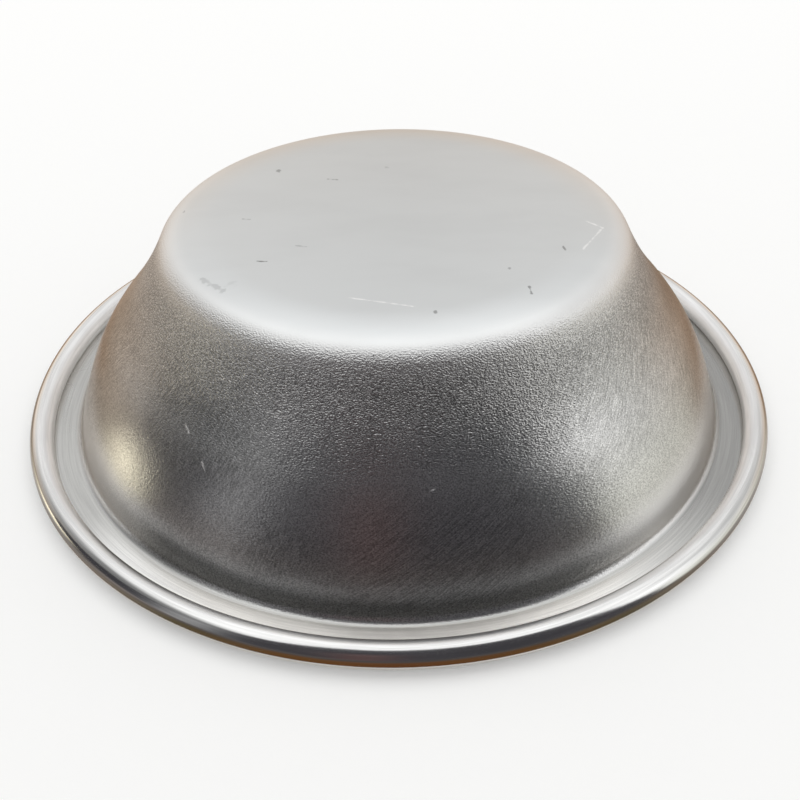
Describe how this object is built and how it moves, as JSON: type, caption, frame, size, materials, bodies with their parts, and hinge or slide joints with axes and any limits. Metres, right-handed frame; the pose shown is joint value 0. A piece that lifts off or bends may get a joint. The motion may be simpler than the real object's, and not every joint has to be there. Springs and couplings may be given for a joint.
{
  "type": "egg tart mould",
  "caption": "Shallow round egg tart mould in drawn aluminium sheet: flat base, sloped wall that turns steep towards the narrow ledge, and a rolled rim, modelled mouth down.",
  "frame": {"origin": "on the mould's axis, in the plane that the rolled rim rests on when the mould lies mouth down", "axes": "+Z along the axis, out of the outside of the base; +X and +Y are any two directions across the round mouth"},
  "size_m": [0.07, 0.07, 0.019],
  "materials": {
    "aluminium_sheet": "satin, rolled on the base, with fine orange peel on the drawn wall"
  },
  "bodies": {
    "root": {"mould_shell": "aluminium_sheet"}
  },
  "joints": []
}
